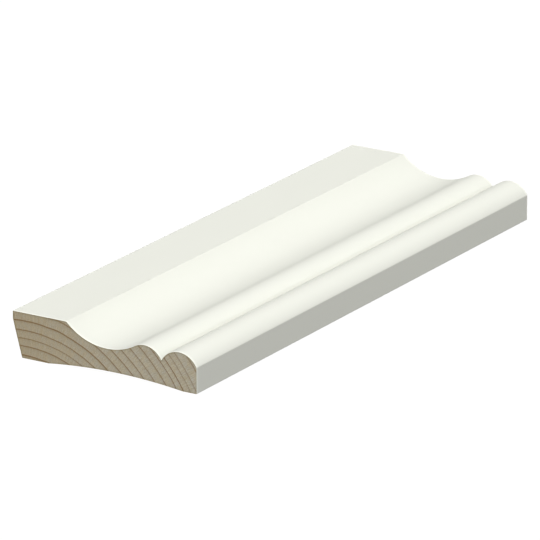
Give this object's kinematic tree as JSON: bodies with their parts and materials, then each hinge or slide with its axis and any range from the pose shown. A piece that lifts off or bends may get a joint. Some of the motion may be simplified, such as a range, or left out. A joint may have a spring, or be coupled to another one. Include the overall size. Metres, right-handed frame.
{
  "type": "skirting board",
  "caption": "Straight length of painted pine skirting: plain band, cove, nose and bead on the face, undercut foot edge, hollowed back, ends cut square.",
  "frame": {"origin": "centre of the footprint in the plane of the two flat back strips, which is also the bottom centre of the bounding box", "axes": "+X across the board from its foot edge to its top edge, +Y along its length, +Z from the wall face out through the moulded face"},
  "size_m": [0.095, 0.286, 0.021],
  "materials": {
    "satin_white_paint": "satin off-white paint sprayed on planed pine, smooth, with the wood bare on the cut ends, the back and the undercut",
    "bare_pine": "bare sawn and planed pine with brown late-wood rings"
  },
  "bodies": {
    "root": {"skirting_board": "satin_white_paint"}
  },
  "joints": []
}
